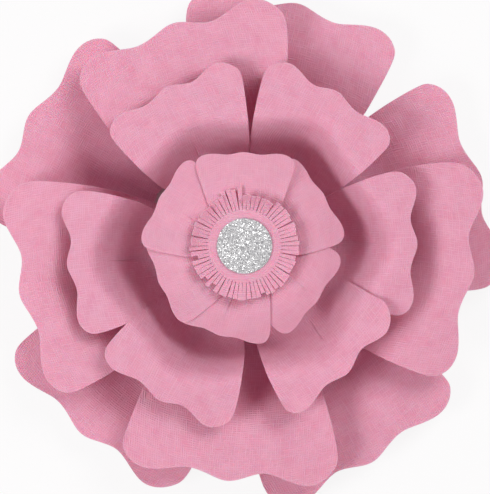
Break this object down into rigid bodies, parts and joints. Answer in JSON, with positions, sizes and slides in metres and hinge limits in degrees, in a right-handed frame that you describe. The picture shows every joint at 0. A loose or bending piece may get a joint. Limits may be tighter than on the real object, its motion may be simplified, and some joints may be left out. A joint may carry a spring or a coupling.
{
  "type": "layered paper flower",
  "caption": "Large layered flower of cupped pink card petals with wavy edges around a fringed disc and a glitter centre, made to lie flat or be fixed to a wall or backdrop.",
  "frame": {"origin": "centre of the backing disc's lower face, which the flower rests on", "axes": "+Z out of the flower's face, away from the backing disc; +Y towards the flower's top as it is seen from the front, +X to its right"},
  "size_m": [0.2349, 0.2348, 0.0569],
  "materials": {
    "petal_card": "matt pink card with a pressed linen weave",
    "inner_card": "matt pink card, smooth side out",
    "backing_card": "plain matt white card",
    "foam": "plain matt white, stacked card pads",
    "glitter_card": "silver glitter on card"
  },
  "bodies": {
    "root": {"backing_disc": "backing_card", "centre_riser": "foam", "centre_core": "foam", "outer_petal_1": "petal_card", "outer_petal_2": "petal_card", "outer_petal_3": "petal_card", "outer_petal_4": "petal_card", "outer_petal_5": "petal_card", "second_petal_1": "petal_card", "second_petal_2": "petal_card", "second_petal_3": "petal_card", "second_petal_4": "petal_card", "third_petal_1": "petal_card", "third_petal_2": "petal_card", "third_petal_3": "petal_card", "third_petal_4": "petal_card", "third_petal_5": "petal_card", "third_petal_6": "petal_card", "inner_petal_1": "inner_card", "inner_petal_2": "inner_card", "inner_petal_3": "inner_card", "inner_petal_4": "inner_card", "inner_petal_5": "inner_card", "inner_petal_6": "inner_card", "fringed_disc": "inner_card", "glitter_disc": "glitter_card"}
  },
  "joints": []
}
